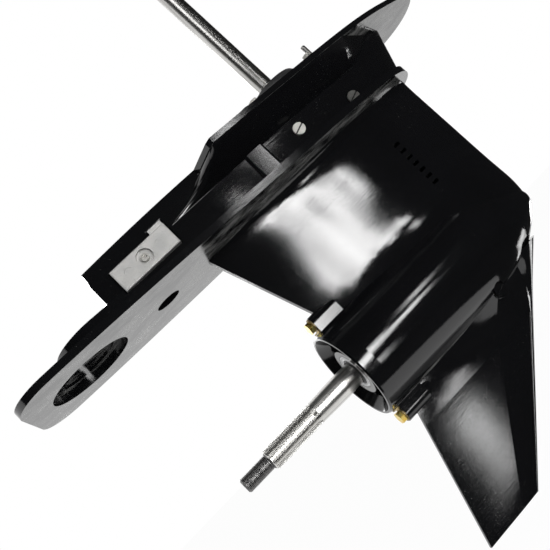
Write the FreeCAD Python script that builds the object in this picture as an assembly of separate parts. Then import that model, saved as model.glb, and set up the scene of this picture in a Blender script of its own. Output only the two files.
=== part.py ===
import FreeCAD, Part
import math
import os

# Lower unit of a mid-size outboard motor, in millimetres.
# Inside this file X points to the bow, Y to port and Z up, with Z = 0 on the propeller
# shaft axis and X = Y = 0 on the driveshaft axis. On saving, everything is lowered so
# that the origin lies where the driveshaft axis meets the top mounting face.

# Main heights above the propeller shaft axis
face_height = 256.0
plate_height = 186.0
plate_thickness = 8.0
fold_depth = 27.0
rim_thickness = 6.0
ledge_overhang = 1.2
skeg_foot_height = -30.0
skeg_tip_height = -210.0
skeg_knee_height = -88.0
skeg_root_height = -36.0

# Stations along X
lead_x = 120.0
nose_tip_x = 117.0
nose_start_x = 0.0
nose_tip_radius = 18.0
gearcase_aft_x = -153.0
plate_front_x = 124.0
plate_aft_x = -425.0
plate_corner_radius = 42.0
housing_aft_x = -297.0
strut_tail_foot_x = -126.0
strut_tail_slope = 0.34
skeg_lead_foot_x = 90.0
skeg_lead_slope = 1.165
skeg_tail_foot_x = -134.0
skeg_tail_slope = 0.337
tongue_front_x = 200.0
hollow_x = -333.0
hollow_radius = 38.0
hollow_drop = 3.0
bridge_front_x = -250.0
bridge_half = 40.0
rim_corner_x = -122.0
flare_tail_x = -198.0
flare_knee_x = -161.0
flare_end_x = -143.0
column_aft_x = -97.0
column_front_x = -72.0

# How the skeg's root swells: share of the way up, and thickness against the blade's top
skeg_swell = ((0.0, 1.0), (0.27, 1.5), (0.54, 2.6), (0.77, 4.1), (1.0, 5.6))

# Widths of the gearcase
torpedo_radius = 54.0
strut_half = 26.0
strut_tail_half = 4.0
skeg_tip_half = 2.4
skeg_knee_half = 6.9
skeg_round_length = 1.2
skeg_round_share = 0.7
skeg_fullest_share = 0.35
wall_half = 46.0
column_half = 52.5
column_edge_radius = 3.0
rim_half = 93.0
plate_half = 88.0

# Holes of the gearcase
gear_bore_radius = 48.0
gear_bore_front_x = 24.0
gear_back_room_radius = 42.5
forward_seat_radius = 36.0
forward_seat_front_x = 51.5
cam_room_radius = 22.0
cam_room_front_x = 90.0
follower_guide_front_x = 102.5
driveshaft_bore_radius = 14.0
pinion_room_radius = 26.0
pinion_room_top = 56.0
needle_seat_radius = 19.0
needle_seat_top = 78.0
upper_seat_radius = 26.0
upper_seat_depth = 52.0
upper_seat_length = 22.0
shift_bore_radius = 6.0
tab_seat_x = -350.7
tab_seat_radius = 47.7
tab_seat_depth = 9.0
tab_step_radius = 37.0
tab_step_depth = 12.0
tab_pad_radius = 54.0
tab_pad_rise = 17.0
tab_boss_x = -323.0
tab_boss_radius = 46.0
tab_bolt_radius = 5.0
tab_boss_rise = 28.0
access_x = -247.0
access_radius = 14.6
access_depth = 46.0
mount_bolt_radius = 5.0
mount_bolt_depth = 13.0
mount_front_x = 78.0
mount_aft_x = -78.0
mount_side = 46.0
access_bolt_radius = 5.25
pinion_room_drop = 8.0
exhaust_front_x = -45.0
exhaust_aft_x = -222.0
exhaust_half = 34.0
exhaust_passage_front_x = -50.0
exhaust_passage_bottom = 20.0
dowel_radius = 4.0
dowel_rise = 6.0
dowel_seat_radius = 4.5
dowel_depth = 8.0
dowel_x = -80.0
dowel_side = 62.0

# Water inlets
inlet_count = 7
inlet_x = 43.0
inlet_length = 8.0
inlet_height = 3.6
inlet_pitch = 9.6
inlet_middle = 107.5
gallery_aft_x = 32.0
gallery_front_x = 54.0
gallery_half = 13.0
gallery_bottom = 70.0
gallery_roof_depth = 12.0
riser_front_x = 50.0
riser_half = 10.0

# Anodes
anode_x = -239.5
anode_depth = 32.0
anode_length = 72.0
anode_width = 26.0
anode_thickness = 8.0
anode_proud = 1.5
anode_recess_gap = 1.5
anode_turn = 6.0
anode_bolt_radius = 3.0
anode_head_radius = 4.4
anode_counterbore_radius = 9.0
anode_counterbore_depth = 4.0
anode_head_height = 4.2
anode_edge_radius = 1.2
anode_lug_aft = 19.0
anode_lug_front = 35.5
anode_lug_rise = 4.5
anode_lug_thickness = 3.0
anode_mark_radius = 4.6
anode_mark_depth = 0.5
anode_mark_places = (-21.0, 20.0)
anode_wall_y = 44.0

# Plug screws
screw_head_radius = 6.8
screw_head_length = 2.6
spot_face_radius = 7.6
spot_face_depth = 16.0
screw_radius = 4.0
screw_length = 12.0
screw_slot = 1.8
screw_slot_depth = 1.2
screw_slot_turn = -20.0
level_screw_x = -31.0
level_screw_depth = 40.5
flush_screw_x = 41.0
flush_screw_rise = 17.0
drain_screw_x = -2.0
drain_screw_height = -47.0
washer_thickness = 1.0
level_seat_y = 46.6
flush_seat_y = 42.4
drain_seat_y = 28.0

# Bevel gears and clutch
pinion_teeth = 13
gear_teeth = 26
gear_module = 3.3
pressure_angle = 20.0
face_width = 13.0
tooth_backlash = 0.30
addendum_share = 0.85
dedendum_share = 1.15
gear_face_x = 17.5
gear_back_x = 33.0
gear_hub_radius = 20.0
jaw_count = 8
jaw_share = 0.36
jaw_length = 4.5
jaw_gap = 1.5
jaw_inner_radius = 13.6
jaw_outer_radius = 20.5
dog_radius = 21.0
dog_groove_depth = 1.5
dog_groove_width = 3.0
cross_pin_radius = 3.0

# Shafts
driveshaft_radius = 11.0
driveshaft_free_radius = 10.6
driveshaft_step_rise = 35.0
driveshaft_projection = 490.0
driveshaft_spline_teeth = 14
driveshaft_spline_length = 42.0
driveshaft_spline_radius = 10.0
driveshaft_spline_root = 8.6
pinion_seat_radius = 9.0
pinion_top = 54.0
pinion_bottom = 30.5
pinion_nut_height = 7.8
pinion_nut_radius = 9.6
pinion_thread_radius = 7.0
prop_front_radius = 11.5
prop_shaft_radius = 12.5
prop_step_x = -14.0
prop_cone_aft_x = -222.0
prop_cone_front_x = -183.0
prop_cone_radius = 13.2
prop_spline_teeth = 15
prop_spline_radius = 11.9
prop_spline_root = 10.4
prop_spline_aft_x = -286.0
prop_thread_radius = 8.0
prop_end_x = -322.0
prop_front_x = 50.0
prop_bore_radius = 5.5
prop_bore_end_x = -12.0

# Shift linkage
shift_x = 68.0
shift_shaft_radius = 4.0
shift_tip_radius = 3.2
shift_tip_length = 14.0
shift_projection = 43.0
shift_angle = 35.0
shift_throw = 10.0
crank_radius = 14.5
crank_bottom = 8.0
crank_thickness = 5.0
crank_pin_radius = 3.5
crank_slot_gap = 0.25
follower_half = 6.0
follower_aft_x = 58.0
follower_front_x = 77.0
follower_guide_radius = 5.0
follower_stem_radius = 4.6
knob_radius = 4.0
neck_radius = 2.5
plunger_radius = 5.3
plunger_end_x = 33.6
pocket_aft_x = 23.0
pocket_front_x = 28.6

# Bearing carrier
carrier_front_x = -33.5
carrier_ring_aft_x = -62.0
carrier_seat_aft_x = -51.5
carrier_hub_radius = 28.0
carrier_hub_aft_x = -164.0
carrier_shell_front_x = -126.0
carrier_shell_inner = 43.5
carrier_aft_x = -170.0
carrier_rib_count = 4
carrier_rib_thickness = 6.0
carrier_bolt_height = 63.5
carrier_bolt_radius = 4.0
carrier_bolt_length = 30.0
carrier_ear_radius = 9.5
carrier_ear_thickness = 7.0
carrier_head_radius = 7.0
carrier_head_height = 5.5
lug_length = 26.0
lug_taper_length = 24.0
lug_taper_start = 46.0
lug_tip_radius = 2.0
lug_foot_height = 56.0
lug_root_height = 40.0
tab_thickness = 1.2
tab_disc_radius = 8.4
tab_tongue_half = 5.0
tab_bend_half = 4.0
tab_bend_length = 5.0
tab_reach = 9.5
carrier_needle_front_x = -95.0
carrier_needle_aft_x = -125.0
carrier_needle_seat = 18.0
carrier_seal_seat = 21.0
carrier_seal_front_x = -145.0
carrier_bore_gap = 0.6
carrier_neck_radius = 34.0
carrier_neck_length = 14.0
carrier_waist_depth = 4.0
ring_section = 2.4
ring_place_x = -56.0

# Water pump
pump_base_height = 6.0
pump_gasket_thickness = 0.6
pump_plate_thickness = 1.6
pump_front_x = 54.0
pump_aft_x = -46.0
pump_side = 42.0
pump_corner = 14.0
pump_flange_height = 6.0
pump_body_radius = 37.0
pump_body_rise = 27.5
pump_neck_radius = 16.0
pump_neck_rise = 31.0
pump_cup_inner = 27.5
pump_cup_wall = 1.2
pump_cup_depth = 15.5
pump_offset = 3.0
pump_bolt_radius = 3.0
pump_bolt_inset = 8.5
pump_bolt_depth = 12.0
pump_head_radius = 5.8
pump_head_height = 4.5
pump_foot_radius = 6.5
pump_foot_rise = 2.0
water_port_aft_x = 34.0
water_port_front_x = 44.0
water_port_half = 7.0
impeller_hub_radius = 15.0
impeller_tip_radius = 23.8
impeller_vanes = 6
impeller_vane_thickness = 3.2
impeller_height = 14.4
key_width = 4.0
key_depth = 2.0
key_top = 13.0
seal_seat_radius = 18.0
seal_length = 6.0
seal_depth = 14.0
upper_nut_height = 8.0
bush_length = 16.0
bush_flange_radius = 12.0
bush_flange_height = 3.0
bush_collar_height = 4.0
bush_lip_gap = 1.6
water_socket_x = -35.0
water_socket_y = 10.0
water_socket_radius = 11.0
water_pipe_radius = 6.5
water_socket_wall = 2.5
water_socket_depth = 14.0
water_collar_height = 2.0

# Bearings
roller_count = 14
needle_count = 14
needle_radius = 2.0
roller_share = 0.19
roller_inset = 2.0
needle_inset = 1.5

# Fits
running_gap = 0.05
roller_gap = 0.03
soft_gap = 0.3

# Worked out from the values above
fold_height = face_height - fold_depth
tab_pad_height = plate_height + tab_pad_rise
tab_boss_height = plate_height + tab_boss_rise
upper_seat_bottom = face_height - upper_seat_depth
upper_seat_top = upper_seat_bottom + upper_seat_length
anode_height = face_height - anode_depth
level_screw_height = face_height - level_screw_depth
flush_screw_height = plate_height + flush_screw_rise
driveshaft_step_height = face_height + driveshaft_step_rise
shift_top = face_height + shift_projection
pump_body_top = face_height + pump_body_rise
pump_neck_top = face_height + pump_neck_rise
seal_bottom = face_height - seal_depth
cone_distance = gear_module * math.hypot(pinion_teeth, gear_teeth) / 2
pinion_cone = math.atan2(pinion_teeth, gear_teeth)
gear_cone = math.pi / 2 - pinion_cone
dog_travel = shift_throw * math.sin(math.radians(shift_angle))
jaw_tip_x = gear_face_x - jaw_length
dog_half = jaw_tip_x - jaw_gap - jaw_length
driveshaft_top = face_height + driveshaft_projection
pump_plate_bottom = face_height + pump_base_height + pump_gasket_thickness
pump_floor = pump_plate_bottom + pump_plate_thickness
carrier_ear_aft_x = gearcase_aft_x - carrier_ear_thickness
water_socket_bottom = pump_neck_top - water_socket_depth
water_socket_bore = water_socket_radius - water_socket_wall
pump_bolt_seat = pump_floor + pump_flange_height + pump_foot_rise


def point(x, y, z=0.0):
    return FreeCAD.Vector(x, y, z)


def rod(radius, length, base, direction):
    return Part.makeCylinder(radius, length, point(*base), point(*direction))


def rod_x(radius, from_x, to_x, y=0.0, z=0.0):
    return rod(radius, abs(to_x - from_x), (min(from_x, to_x), y, z), (1, 0, 0))


def rod_y(radius, from_y, to_y, x=0.0, z=0.0):
    return rod(radius, abs(to_y - from_y), (x, min(from_y, to_y), z), (0, 1, 0))


def rod_z(radius, from_z, to_z, x=0.0, y=0.0):
    return rod(radius, abs(to_z - from_z), (x, y, min(from_z, to_z)), (0, 0, 1))


def block(x0, x1, y0, y1, z0, z1):
    return Part.makeBox(x1 - x0, y1 - y0, z1 - z0, point(x0, y0, z0))


def turned_x(profile):
    # Points (x, radius), turned about the propeller shaft axis.
    outline = [point(x, 0, radius) for x, radius in profile]
    face = Part.Face(Part.makePolygon(outline + outline[:1]))
    return face.revolve(point(0, 0), point(1, 0), 360)


def turned_z(profile, x=0.0, y=0.0):
    # Points (radius, z), turned about a vertical axis through x, y.
    outline = [point(x + radius, y, z) for radius, z in profile]
    face = Part.Face(Part.makePolygon(outline + outline[:1]))
    return face.revolve(point(x, y), point(0, 0, 1), 360)


def ring_x(inner, outer, from_x, to_x):
    return turned_x([(from_x, inner), (to_x, inner), (to_x, outer), (from_x, outer)])


def ring_z(inner, outer, from_z, to_z, x=0.0, y=0.0):
    return turned_z([(inner, from_z), (outer, from_z), (outer, to_z), (inner, to_z)], x, y)


def mirrored(points):
    return [(x, -y) for x, y in reversed(points) if y > 0]


def curved_plan(half, z):
    # A closed outline at height z: a smooth curve through the half outline and its mirror
    # image, from the aft end round the bow and back, closed by a straight aft edge.
    points = mirrored(half) + list(half)
    curve = Part.BSplineCurve()
    curve.interpolate([point(x, y, z) for x, y in points])
    closing = Part.LineSegment(curve.EndPoint, curve.StartPoint)
    return Part.Wire([curve.toShape(), closing.toShape()])


def cornered_plan(half, corners, z):
    # As curved_plan, but the aft end runs straight from corner to corner.
    curve = Part.BSplineCurve()
    curve.interpolate([point(x, y, z) for x, y in mirrored(half) + list(half)])
    ends = [point(x, y, z) for x, y in list(corners) + mirrored(corners)]
    closing = Part.makePolygon([curve.EndPoint] + ends + [curve.StartPoint])
    return Part.Wire([curve.toShape()] + closing.Edges)


def straight_plan(half, z):
    points = [point(x, y, z) for x, y in mirrored(half) + list(half)]
    return Part.makePolygon(points + points[:1])


def raised(wire, height):
    return Part.Face(wire).extrude(point(0, 0, height))


def joined(shapes):
    return shapes[0].fuse(shapes[1:]).removeSplitter()


def turned_copies(shape, count, axis, start=0.0):
    return [shape.rotated(point(0, 0), point(*axis), start + 360 * i / count)
            for i in range(count)]


def port_copy(shape):
    return shape.mirror(point(0, 0), point(0, 1))


def star(teeth, root, tip, root_share, tip_share, along):
    # A closed polygon with straight-sided teeth, for splines. Shares are of one pitch.
    pitch = 2 * math.pi / teeth
    corners = []
    for tooth in range(teeth):
        middle = tooth * pitch
        for radius, offset in ((root, -root_share / 2), (tip, -tip_share / 2),
                               (tip, tip_share / 2), (root, root_share / 2)):
            angle = middle + offset * pitch
            corners.append(along(radius * math.cos(angle), radius * math.sin(angle)))
    return Part.makePolygon(corners + corners[:1])


def hexagon_x(radius, from_x, to_x, z):
    corners = [point(from_x, radius * math.cos(math.radians(60 * i)),
                     z + radius * math.sin(math.radians(60 * i))) for i in range(7)]
    return Part.Face(Part.makePolygon(corners)).extrude(point(to_x - from_x, 0))


def hexagon_z(radius, from_z, to_z, x=0.0, y=0.0):
    corners = [point(x + radius * math.cos(math.radians(60 * i)),
                     y + radius * math.sin(math.radians(60 * i)), from_z) for i in range(7)]
    return Part.Face(Part.makePolygon(corners)).extrude(point(0, 0, to_z - from_z))


def save(name, shape):
    lowered = shape.copy()
    lowered.translate(point(0, 0, -face_height))
    lowered.exportStep(f"parts/{name}.step")


# Gearcase

def strut_tail(z):
    return strut_tail_foot_x - strut_tail_slope * z


def skeg_lead(z):
    return skeg_lead_foot_x + skeg_lead_slope * (z - skeg_foot_height)


def skeg_tail(z):
    return skeg_tail_foot_x + skeg_tail_slope * (z - skeg_foot_height)


def foil(lead, tail, half, tail_half, z):
    # A streamlined section: blunt tail, fullest forward of the middle, round leading edge.
    chord = lead - tail
    return curved_plan([(lead, 0), (lead - 0.03 * chord, 0.34 * half),
                        (lead - 0.12 * chord, 0.72 * half), (lead - 0.34 * chord, half),
                        (lead - 0.62 * chord, 0.86 * half), (tail, tail_half)], z)


def strut():
    # The leg flares out below into the torpedo and above into the plate, and its front
    # edge draws back at the foot into the torpedo's nose.
    swell = ((0.0, 1.2, 3.0), (14.0, 1.36, 0.8), (28.0, 1.4, 0.0), (44.0, 1.22, 0.0),
             (60.0, 1.02, 0.0), (90.0, 0.98, 0.0), (plate_height - 46, 1.06, 0.0),
             (plate_height - 18, 1.12, 0.0), (plate_height - 6, 1.26, 0.0),
             (plate_height, 1.5, 0.0))
    sections = [foil(lead_x - back, strut_tail(z), strut_half * share, strut_tail_half, z)
                for z, share, back in swell]
    return Part.makeLoft(sections, True, False)


def torpedo():
    # The nose is two arcs: a long shoulder that leaves the barrel smoothly, then a round tip.
    length = nose_tip_x - nose_start_x
    spread = 2 * (torpedo_radius - nose_tip_radius)
    shoulder_radius = ((length ** 2 + torpedo_radius ** 2 - 2 * length * nose_tip_radius)
                       / spread)
    drop = shoulder_radius - torpedo_radius
    tip_centre_x = nose_tip_x - nose_tip_radius
    lean = math.atan2(drop, tip_centre_x - nose_start_x)

    def on_shoulder(angle):
        return point(nose_start_x + shoulder_radius * math.cos(angle), 0,
                     shoulder_radius * math.sin(angle) - drop)

    def on_tip(angle):
        return point(tip_centre_x + nose_tip_radius * math.cos(angle), 0,
                     nose_tip_radius * math.sin(angle))

    shoulder = Part.Arc(on_shoulder(math.pi / 2), on_shoulder((math.pi / 2 + lean) / 2),
                        on_shoulder(lean))
    tip = Part.Arc(on_tip(lean), on_tip(lean / 2), on_tip(0))
    corners = [point(nose_tip_x, 0), point(gearcase_aft_x, 0),
               point(gearcase_aft_x, 0, torpedo_radius), point(nose_start_x, 0, torpedo_radius)]
    outline = Part.Wire([shoulder.toShape(), tip.toShape()] + Part.makePolygon(corners).Edges)
    return Part.Face(outline).revolve(point(0, 0), point(1, 0), 360)


def fin_plan(half, z):
    # The skeg's section: a round leading edge, flat sides and a thin blunt tail.
    lead, tail = skeg_lead(z), skeg_tail(z)
    shoulder = lead - skeg_round_length * half
    fullest = lead - skeg_fullest_share * (lead - tail)
    edge = skeg_round_share * half
    nose = Part.Arc(point(shoulder, edge, z), point(lead, 0, z), point(shoulder, -edge, z))
    sides = Part.makePolygon([point(shoulder, -edge, z), point(fullest, -half, z),
                              point(tail, -skeg_tip_half, z), point(tail, skeg_tip_half, z),
                              point(fullest, half, z), point(shoulder, edge, z)])
    return Part.Wire([nose.toShape()] + sides.Edges)


def skeg():
    # A flat tapered blade whose root swells upwards into the torpedo.
    blade = [fin_plan(skeg_tip_half, skeg_tip_height), fin_plan(skeg_knee_half, skeg_knee_height)]
    rise = skeg_root_height - skeg_knee_height
    root = [fin_plan(skeg_knee_half * share, skeg_knee_height + rise * part)
            for part, share in skeg_swell]
    return Part.makeLoft(blade, True, True).fuse(Part.makeLoft(root, True, False))


def plate():
    half = [(plate_front_x, 0), (118.0, 25.0), (104.0, 46.0), (84.0, 60.0), (50.0, 68.0),
            (0.0, 73.0), (-100.0, 77.0), (-200.0, 83.0), (-300.0, plate_half),
            (plate_aft_x, 84.0)]
    slab = raised(curved_plan(half, plate_height), plate_thickness)
    corners = [edge for edge in slab.Edges
               if abs(edge.BoundBox.XMax - plate_aft_x) < 0.01
               and edge.BoundBox.ZLength > plate_thickness / 2]
    return slab.makeFillet(plate_corner_radius, corners)


def housing_plan(front_x, z, share=1.0):
    return curved_plan([(front_x, 0), (front_x - 9.0, 18.0 * share), (88.0, 37.0 * share),
                        (40.0, wall_half * share), (-60.0, 50.0 * share),
                        (-150.0, 51.0 * share), (-220.0, 46.0 * share),
                        (housing_aft_x, 34.0 * share)], z)


def upper_housing():
    low = housing_plan(lead_x + 1, plate_height + 1, 0.94)
    high = housing_plan(148.0, face_height, 1.0)
    body = Part.makeLoft([low, high], True, True)
    # The aft end sweeps down in a hollow curve to the low boss over the trim-tab seat.
    hollow = rod_y(hollow_radius, -rim_half, rim_half, hollow_x, face_height - hollow_drop)
    boss = rod_z(tab_boss_radius, plate_height + 1, tab_boss_height, tab_boss_x)
    tail = [(bridge_front_x, 0), (bridge_front_x - 1, bridge_half),
            (tab_boss_x, tab_boss_radius)]
    bridge = raised(straight_plan(tail, plate_height + 1), tab_boss_height - plate_height - 1)
    pad = rod_z(tab_pad_radius, plate_height + 1, tab_pad_height, tab_seat_x)
    return joined([body.cut(hollow), boss, bridge, pad])


def splash_plate():
    rim = [(tongue_front_x, 0), (194.0, 25.0), (175.0, 44.0), (150.0, 56.0), (118.0, 68.5),
           (66.0, 80.0), (0.0, 86.0), (-60.0, rim_half - 3), (rim_corner_x, rim_half)]
    corners = [(rim_corner_x - 5, rim_half - 6), (flare_end_x - 1, wall_half + 4)]
    brim = raised(cornered_plan(rim, corners, face_height - rim_thickness), rim_thickness)
    return brim.fuse(flare())


def flare():
    # The slope under the brim. Its foot overhangs the wall as a narrow ledge that runs aft
    # to a point, and its aft edge is hollow.
    foot = [(135.0, 0), (64.0, 42.0), (0.0, 47.0), (-60.0, 49.0), (-110.0, 49.9),
            (-150.0, 49.9), (flare_tail_x, 47.4)]
    foot = [(x, y + ledge_overhang if y else y) for x, y in foot]
    head = [(146.0, 0), (66.0, 79.0), (0.0, 85.0), (-60.0, rim_half - 4),
            (rim_corner_x + 1, rim_half - 1), (rim_corner_x - 4, rim_half - 7),
            (flare_end_x, wall_half + 3.5)]
    middle = [((x0 + x1) / 2, (y0 + y1) / 2) for (x0, y0), (x1, y1) in zip(foot, head)]
    middle[-1] = (flare_knee_x, wall_half + 3.5)
    knee_height = (fold_height + face_height - rim_thickness) / 2
    sections = [straight_plan(foot, fold_height), straight_plan(middle, knee_height),
                straight_plan(head, face_height - rim_thickness)]
    return Part.makeLoft(sections, True, True)


def columns():
    # A flat column with rounded edges stands out of each side wall under the flare.
    height = face_height - rim_thickness - plate_height - 1
    both = block(column_aft_x, column_front_x, -column_half, column_half, plate_height + 1,
                 face_height - rim_thickness)
    upright = [edge for edge in both.Edges if edge.BoundBox.ZLength > height / 2]
    return both.makeFillet(column_edge_radius, upright)


def bolt_lugs():
    lugs = []
    for side in (1, -1):
        height = side * carrier_bolt_height
        front = gearcase_aft_x + lug_length
        lugs.append(rod_x(carrier_ear_radius, front, gearcase_aft_x, 0, height))
        lugs.append(Part.makeCone(lug_tip_radius, carrier_ear_radius, lug_taper_length,
                                  point(gearcase_aft_x + lug_taper_start, 0,
                                        side * lug_foot_height),
                                  point(-lug_taper_length, 0, height - side * lug_foot_height)))
        edges = sorted((side * lug_root_height, height))
        lugs.append(block(gearcase_aft_x, front, -carrier_ear_radius, carrier_ear_radius,
                          *edges))
    return lugs


def gear_room():
    return [rod_x(gear_bore_radius, gearcase_aft_x - 1, gear_bore_front_x),
            rod_x(gear_back_room_radius, gear_bore_front_x - 1, gear_back_x),
            rod_x(forward_seat_radius, gear_back_x - 1, forward_seat_front_x),
            rod_x(cam_room_radius, forward_seat_front_x - 1, cam_room_front_x),
            rod_x(follower_guide_radius + running_gap, cam_room_front_x - 1,
                  follower_guide_front_x)]


def shaft_bores():
    room_bottom = gear_bore_radius - pinion_room_drop
    return [rod_z(pinion_room_radius, room_bottom, pinion_room_top),
            rod_z(needle_seat_radius, pinion_room_top - 1, needle_seat_top),
            rod_z(driveshaft_bore_radius, needle_seat_top - 1, upper_seat_bottom + 1),
            rod_z(upper_seat_radius, upper_seat_bottom, face_height + 1),
            rod_z(shift_shaft_radius + running_gap, crank_bottom + crank_thickness,
                  pinion_room_top, shift_x),
            rod_z(shift_bore_radius, pinion_room_top - 1, face_height + 1, shift_x)]


def water_rooms():
    roof = face_height - gallery_roof_depth
    gallery = block(gallery_aft_x, gallery_front_x, -gallery_half, gallery_half,
                    gallery_bottom, roof)
    riser = block(gallery_aft_x, riser_front_x, -riser_half, riser_half, roof - 1,
                  face_height + 1)
    rooms = [gallery, riser]
    for i in range(inlet_count):
        z = inlet_middle + (i - (inlet_count - 1) / 2) * inlet_pitch
        rooms.append(block(inlet_x - inlet_length / 2, inlet_x + inlet_length / 2,
                           -strut_half * 2, strut_half * 2,
                           z - inlet_height / 2, z + inlet_height / 2))
    return rooms


def exhaust_rooms():
    # Exhaust comes in through the top face, runs down the leg and leaves round the carrier.
    box = block(exhaust_aft_x, exhaust_front_x, -exhaust_half, exhaust_half,
                upper_seat_bottom, face_height + 1)
    low = straight_plan([(exhaust_passage_front_x, 12.0), (-92.0, 8.0)],
                        exhaust_passage_bottom)
    high = straight_plan([(exhaust_passage_front_x, 14.0), (-158.0, 6.0)],
                         upper_seat_bottom + 2)
    return [box, Part.makeLoft([low, high], True, True)]


def gearcase_holes():
    holes = gear_room() + shaft_bores() + water_rooms() + exhaust_rooms()
    top = face_height + 1
    seat_roof = plate_height + tab_seat_depth
    holes.append(rod_z(tab_seat_radius, plate_height - 1, seat_roof, tab_seat_x))
    holes.append(rod_z(tab_step_radius, plate_height, plate_height + tab_step_depth,
                       tab_seat_x))
    holes.append(rod_z(tab_bolt_radius, plate_height, tab_boss_height + 1, tab_seat_x))
    holes.append(rod_z(access_radius, plate_height - 1, plate_height + access_depth, access_x))
    holes.append(rod_z(access_bolt_radius, plate_height, top, access_x))
    for x in (mount_front_x, mount_aft_x):
        for y in (mount_side, -mount_side):
            holes.append(rod_z(mount_bolt_radius, face_height - mount_bolt_depth, top, x, y))
    for y in (dowel_side, -dowel_side):
        holes.append(rod_z(dowel_seat_radius, face_height - dowel_depth, top, dowel_x, y))
    holes.extend(pump_bolt_holes(face_height - pump_bolt_depth, top))
    for z in (carrier_bolt_height, -carrier_bolt_height):
        holes.append(rod_x(carrier_bolt_radius, gearcase_aft_x - 1,
                           carrier_ear_aft_x + carrier_bolt_length, 0, z))
    return holes


def gearcase():
    forms = [torpedo(), strut(), plate(), upper_housing(), splash_plate(), skeg(),
             drain_boss(), columns()] + bolt_lugs()
    recesses = [anode_recess(), port_copy(anode_recess())]
    screw_holes = [plug_hole(place) for place in plug_places()]
    return forms[0].fuse(forms[1:]).cut(gearcase_holes() + recesses + screw_holes)


# Bevel gears with involute flanks

def involute(angle):
    return math.tan(angle) - angle


def tooth_half_width(virtual_radius, height):
    # Half the tooth's width at a height above the pitch cone, at its large end. The flank
    # is the involute of the spur gear that the bevel gear would make when unrolled.
    pressure = math.radians(pressure_angle)
    base = virtual_radius * math.cos(pressure)
    radius = max(virtual_radius + height, base)
    half = math.pi * gear_module / 4 - tooth_backlash
    roll = math.acos(base / radius)
    return radius * (half / virtual_radius + involute(pressure) - involute(roll))


def toothed_cone(teeth, cone, near, far, phase):
    # A solid whose toothed outline shrinks towards the point where the axes cross.
    virtual_radius = cone_distance * math.tan(cone)
    addendum = addendum_share * gear_module
    dedendum = dedendum_share * gear_module
    flank = []
    for height in (-dedendum, 0.0, addendum / 2, addendum):
        slope = cone + math.atan2(height, cone_distance)
        width = tooth_half_width(virtual_radius, height)
        flank.append((math.tan(slope), width / (cone_distance * math.sin(slope))))
    outline = [(radius, -angle) for radius, angle in flank] + flank[::-1]
    ends = []
    for distance in (near, far):
        corners = []
        for tooth in range(teeth):
            middle = (tooth + phase) * 2 * math.pi / teeth
            for radius, angle in outline:
                corners.append(point(distance * radius * math.cos(middle + angle),
                                     distance * radius * math.sin(middle + angle), distance))
        ends.append(Part.makePolygon(corners + corners[:1]))
    return Part.makeLoft(ends, True, True)


def cone_corner(cone, distance, height):
    # The (radius, axial distance) of a point that far along the pitch cone and above it.
    scale = distance / cone_distance
    return (distance * math.sin(cone) + height * scale * math.cos(cone),
            distance * math.cos(cone) - height * scale * math.sin(cone))


def bevel_wheel(teeth, cone, inner, outer, phase):
    # inner and outer are the (radius, axial) corners of the blank at its two ends.
    addendum = addendum_share * gear_module
    dedendum = dedendum_share * gear_module
    small = cone_distance - face_width
    blank = turned_z(inner + [cone_corner(cone, small, -dedendum),
                              cone_corner(cone, small, addendum),
                              cone_corner(cone, cone_distance, addendum),
                              cone_corner(cone, cone_distance, -dedendum)] + outer)
    heights = [corner.Z for corner in blank.Vertexes]
    teeth_body = toothed_cone(teeth, cone, min(heights) - 1, max(heights) + 1, phase)
    return teeth_body.common(blank)


def pinion_gear():
    inner = [(pinion_seat_radius, pinion_bottom), (12.0, pinion_bottom)]
    outer = [(17.0, 45.5), (pinion_seat_radius, 45.5)]
    wheel = bevel_wheel(pinion_teeth, pinion_cone, inner, outer, 0.0)
    return wheel.fuse(ring_z(pinion_seat_radius, 14.0, 45.0, pinion_top)).removeSplitter()


def jaws(from_x, to_x, phase):
    pitch = 360 / jaw_count
    tooth = ring_x(jaw_inner_radius, jaw_outer_radius, from_x, to_x)
    wedge_angle = math.radians(pitch * jaw_share / 2)
    reach = jaw_outer_radius * 2
    wedge = Part.makePolygon([point(from_x, 0, 0),
                              point(from_x, -reach * math.tan(wedge_angle), reach),
                              point(from_x, reach * math.tan(wedge_angle), reach),
                              point(from_x, 0, 0)])
    sector = Part.Face(wedge).extrude(point(to_x - from_x, 0)).common(tooth)
    return turned_copies(sector, jaw_count, (1, 0, 0), phase * pitch)


def drive_gear(bore, phase):
    # Modelled at the bow side. Its teeth point aft, and the hub carries the bearing.
    inner = [(bore, gear_face_x), (28.0, gear_face_x)]
    outer = [(38.0, 29.0), (26.0, gear_back_x), (bore, gear_back_x)]
    wheel = bevel_wheel(gear_teeth, gear_cone, inner, outer, phase)
    wheel = wheel.rotated(point(0, 0), point(0, 1), 90)
    hub = ring_x(bore, gear_hub_radius, gear_back_x - 1, forward_seat_front_x)
    teeth = jaws(jaw_tip_x, gear_face_x + 0.5, 0.0)
    return joined([wheel, hub] + teeth)


def clutch_dog():
    ring = ring_x(prop_front_radius + running_gap, dog_radius, -dog_half, dog_half)
    groove = ring_x(dog_radius - dog_groove_depth, dog_radius + 1, -dog_groove_width / 2,
                    dog_groove_width / 2)
    hole = rod_y(cross_pin_radius, -dog_radius, dog_radius)
    front = jaws(dog_half - 0.5, dog_half + jaw_length, 0.5)
    aft = jaws(-dog_half - jaw_length, -dog_half + 0.5, 0.5)
    return joined([ring] + front + aft).cut([groove, hole])


def cross_pin():
    reach = dog_radius - dog_groove_depth
    inside = rod_x(reach, -dog_half, dog_half)
    return rod_y(cross_pin_radius, -reach, reach).common(inside)


def pin_spring():
    half = dog_groove_width / 2 - soft_gap
    return ring_x(dog_radius - dog_groove_depth, dog_radius - 0.2, -half, half)


# Shafts

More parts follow.
